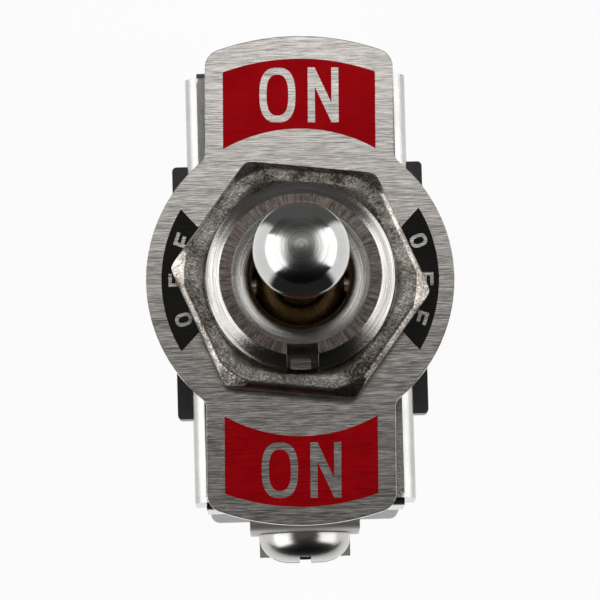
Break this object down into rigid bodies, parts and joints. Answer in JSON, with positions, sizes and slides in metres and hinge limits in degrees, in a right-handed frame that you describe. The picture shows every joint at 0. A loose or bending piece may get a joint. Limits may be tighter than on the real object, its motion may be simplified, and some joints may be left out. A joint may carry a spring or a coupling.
{
  "type": "panel toggle switch",
  "caption": "Heavy-duty ON-OFF-ON toggle switch with a threaded bushing, bat lever, legend plate, folded metal frame, moulded base and screw terminals.",
  "frame": {"origin": "on the bushing's axis, at the top face of the folded mounting frame", "axes": "+Z along the bushing to the lever's tip, +Y along the long side of the body in the lever's swing, +X across the body"},
  "size_m": [0.0198, 0.0336, 0.055],
  "materials": {
    "plated_steel": "grainy nickel plating over stamped steel",
    "bright_plating": "polished bright plating",
    "plated_brass": "nickel plating over brass",
    "legend_aluminium": "brushed along X, with red and black fields",
    "phenolic": "moulded black phenolic, lightly glossy",
    "bare_brass": "pressed brass",
    "contact_silver": "dull silver contact",
    "spring_steel": "bright drawn steel",
    "nylon": "natural nylon",
    "fibre": "vulcanised fibre sheet"
  },
  "bodies": {
    "case": {"mounting_frame": "plated_steel", "base_housing": "phenolic", "bushing": "plated_brass", "lower_nut": "plated_steel", "lock_washer": "plated_steel", "legend_plate": "legend_aluminium", "top_nut": "plated_steel", "pivot_pin": "spring_steel", "insulating_sheet": "fibre", "fulcrum_bracket": "bare_brass", "common_rivet": "bare_brass", "common_terminal": "plated_brass", "front_terminal": "plated_brass", "rear_terminal": "plated_brass", "front_silver": "contact_silver", "rear_silver": "contact_silver", "common_screw": "plated_steel", "front_screw": "plated_steel", "rear_screw": "plated_steel"},
    "lever": {"toggle_lever": "bright_plating", "plunger_spring": "spring_steel"},
    "plunger": {"plunger": "nylon"},
    "rocker": {"rocker_contact": "bare_brass", "rocker_silver_front": "contact_silver", "rocker_silver_rear": "contact_silver"}
  },
  "joints": [
    {"name": "lever_swing", "type": "hinge", "parent": "case", "child": "lever", "pos_m": [0, 0, 0.0006], "axis": [1, 0, 0], "range_deg": [-12, 12]},
    {"name": "rocker_swing", "type": "hinge", "parent": "case", "child": "rocker", "pos_m": [0, 0, -0.0092], "axis": [1, 0, 0], "range_deg": [-8, 8]},
    {"name": "plunger_slide", "type": "slide", "parent": "lever", "child": "plunger", "axis": [0, 0, 1], "range_m": [0, 0.0005], "stiffness_N_per_m": 1000, "springref_m": -0.002, "deforming": ["plunger_spring"]}
  ],
  "couplings": [
    {"joint": "rocker_swing", "follows": "lever_swing", "ratio": -0.66667}
  ]
}
